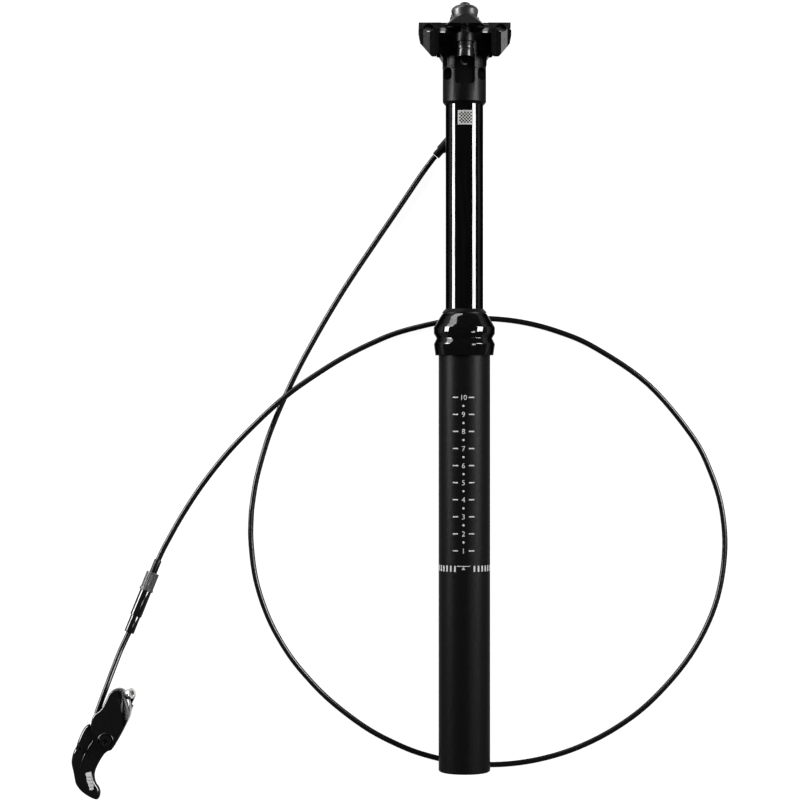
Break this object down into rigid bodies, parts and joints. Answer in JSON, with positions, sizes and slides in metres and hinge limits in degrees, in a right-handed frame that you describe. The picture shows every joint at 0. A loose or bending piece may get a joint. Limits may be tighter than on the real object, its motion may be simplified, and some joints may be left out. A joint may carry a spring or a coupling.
{
  "type": "dropper seatpost",
  "caption": "Telescopic bicycle seatpost with a sliding stanchion, a two-bolt saddle clamp, an external cable loop with an inline adjuster, and a thumb remote on a bar clamp.",
  "frame": {"origin": "on the outer tube's axis, at the start of its full diameter just above the foot", "axes": "+Y along the post from the foot to the saddle head, +Z out of the front of the post, +X to its right; the post lies on a table below it in Z"},
  "size_m": [0.402, 0.4839, 0.045],
  "materials": {
    "tube_black": "satin anodised",
    "gloss_black": "gloss",
    "stanchion_black": "polished hard anodised",
    "alloy_black": "satin",
    "black_steel": "black oxide",
    "steel": "plain",
    "bright_steel": "polished",
    "alloy": "turned",
    "brass": "plain",
    "rubber": "matte",
    "polymer": "matte",
    "housing": "semi-gloss",
    "gloss_plastic": "gloss",
    "knob_plastic": "matte"
  },
  "bodies": {
    "lower": {"outer_tube": "tube_black", "collar": "gloss_black", "wiper_seal": "rubber", "upper_bush": "polymer", "neck_oring": "rubber", "bottom_cap": "alloy", "cap_ring": "steel", "bumper": "rubber", "foot_bolt": "steel", "piston_rod": "steel", "piston": "polymer", "hose_head": "housing", "hose_loop": "housing", "adjuster_ferrule": "alloy_black", "adjuster_sleeve": "gloss_plastic", "adjuster_tail": "gloss_plastic", "hose_lever": "housing", "bar_clamp": "gloss_black", "bar_bolt": "steel", "lever_pod": "gloss_black", "pod_bolt": "bright_steel", "pivot_bolt": "black_steel", "lever_spring": "steel", "lever_wire": "steel"},
    "upper": {"stanchion": "stanchion_black", "lower_bush": "polymer", "guide_keys": "brass", "snap_ring": "steel", "rod_gland": "alloy", "cartridge_tube": "alloy", "valve_head": "brass", "saddle_head": "tube_black", "clamp_bolts": "black_steel", "bolt_washers": "black_steel", "rocker_pin": "steel", "head_wire": "steel", "cable_boot": "rubber", "head_ferrule": "alloy_black"},
    "plunger": {"plunger": "steel"},
    "rail_clamp": {"cradle": "tube_black", "upper_clamp": "gloss_black"},
    "front_nut": {"front_nut": "black_steel"},
    "rear_nut": {"rear_nut": "black_steel"},
    "rocker": {"rocker": "alloy", "wire_nipple": "brass"},
    "knob": {"adjuster_knob": "knob_plastic"},
    "lever": {"thumb_lever": "gloss_black", "grip_insert": "bright_steel", "pivot_bush": "brass", "anchor_screw": "black_steel"}
  },
  "joints": [
    {"name": "drop", "type": "slide", "parent": "lower", "child": "upper", "axis": [0, 1, 0], "range_m": [-0.1, 0], "deforming": ["hose_head"]},
    {"name": "saddle_tilt", "type": "hinge", "parent": "upper", "child": "rail_clamp", "pos_m": [0, 0.456, 0], "axis": [1, 0, 0], "range_deg": [-8, 8]},
    {"name": "front_nut_slide", "type": "slide", "parent": "upper", "child": "front_nut", "axis": [0, 0.9848, -0.1736], "range_m": [-0.0016, 0.0016]},
    {"name": "rear_nut_slide", "type": "slide", "parent": "upper", "child": "rear_nut", "axis": [0, 0.9848, 0.1736], "range_m": [-0.0016, 0.0016]},
    {"name": "thumb_lever", "type": "hinge", "parent": "lower", "child": "lever", "pos_m": [-0.2174, 0.0202, 0.0123], "axis": [0, 0, 1], "range_deg": [0, 22], "stiffness_Nm_per_rad": 0.15, "springref_deg": -20.05, "deforming": ["lever_wire", "lever_spring"]},
    {"name": "rocker_turn", "type": "hinge", "parent": "upper", "child": "rocker", "pos_m": [0, 0.4265, 0.0065], "axis": [1, 0, 0], "range_deg": [-11.05, 0], "deforming": ["head_wire"]},
    {"name": "valve_push", "type": "slide", "parent": "upper", "child": "plunger", "axis": [0, 1, 0], "range_m": [-0.0011, 0]},
    {"name": "adjuster_turn", "type": "hinge", "parent": "lower", "child": "knob", "pos_m": [-0.1887, 0.1276, -0.0134], "axis": [-0.3597, -0.9201, 0.1548], "continuous": true}
  ],
  "couplings": [
    {"joint": "front_nut_slide", "follows": "saddle_tilt", "m_per_rad": -0.0112},
    {"joint": "rear_nut_slide", "follows": "saddle_tilt", "m_per_rad": 0.0112},
    {"joint": "rocker_turn", "follows": "thumb_lever", "ratio": -0.5},
    {"joint": "valve_push", "follows": "thumb_lever", "m_per_rad": -0.00286}
  ]
}
